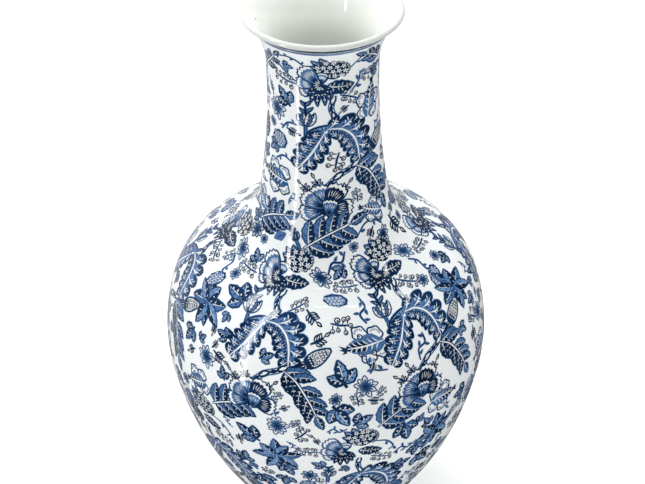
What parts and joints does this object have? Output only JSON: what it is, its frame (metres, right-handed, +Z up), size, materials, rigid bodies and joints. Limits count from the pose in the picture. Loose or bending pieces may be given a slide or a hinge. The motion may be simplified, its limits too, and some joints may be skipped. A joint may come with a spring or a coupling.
{
  "type": "talavera pottery vase",
  "caption": "Tall bottle vase with a flared rolled lip, slim neck, full shoulder, tapering body and recessed foot, glazed white over an all-over blue floral print.",
  "frame": {"origin": "centre of the foot's underside, on the table plane", "axes": "+Z up along the vase's axis of revolution"},
  "size_m": [0.2597, 0.2597, 0.48],
  "materials": {
    "clay": "matte bisque",
    "slip": "matte bisque",
    "floral_print": "cobalt print under glaze",
    "fine_cobalt_line": "cobalt print under glaze",
    "dark_cobalt_line": "cobalt print under glaze",
    "outer_glaze": "glossy",
    "inner_glaze": "glossy",
    "base_glaze": "glossy"
  },
  "bodies": {
    "root": {"foot_ring": "clay", "foot_slip": "slip", "lower_body": "clay", "belly_slip": "slip", "upper_body": "clay", "shoulder_slip": "slip", "neck": "clay", "lip_slip": "slip", "rolled_lip": "clay", "body_print": "floral_print", "neck_print": "floral_print", "fine_line": "fine_cobalt_line", "dark_line": "dark_cobalt_line", "outer_glaze": "outer_glaze", "inner_glaze": "inner_glaze", "base_glaze": "base_glaze"}
  },
  "joints": []
}
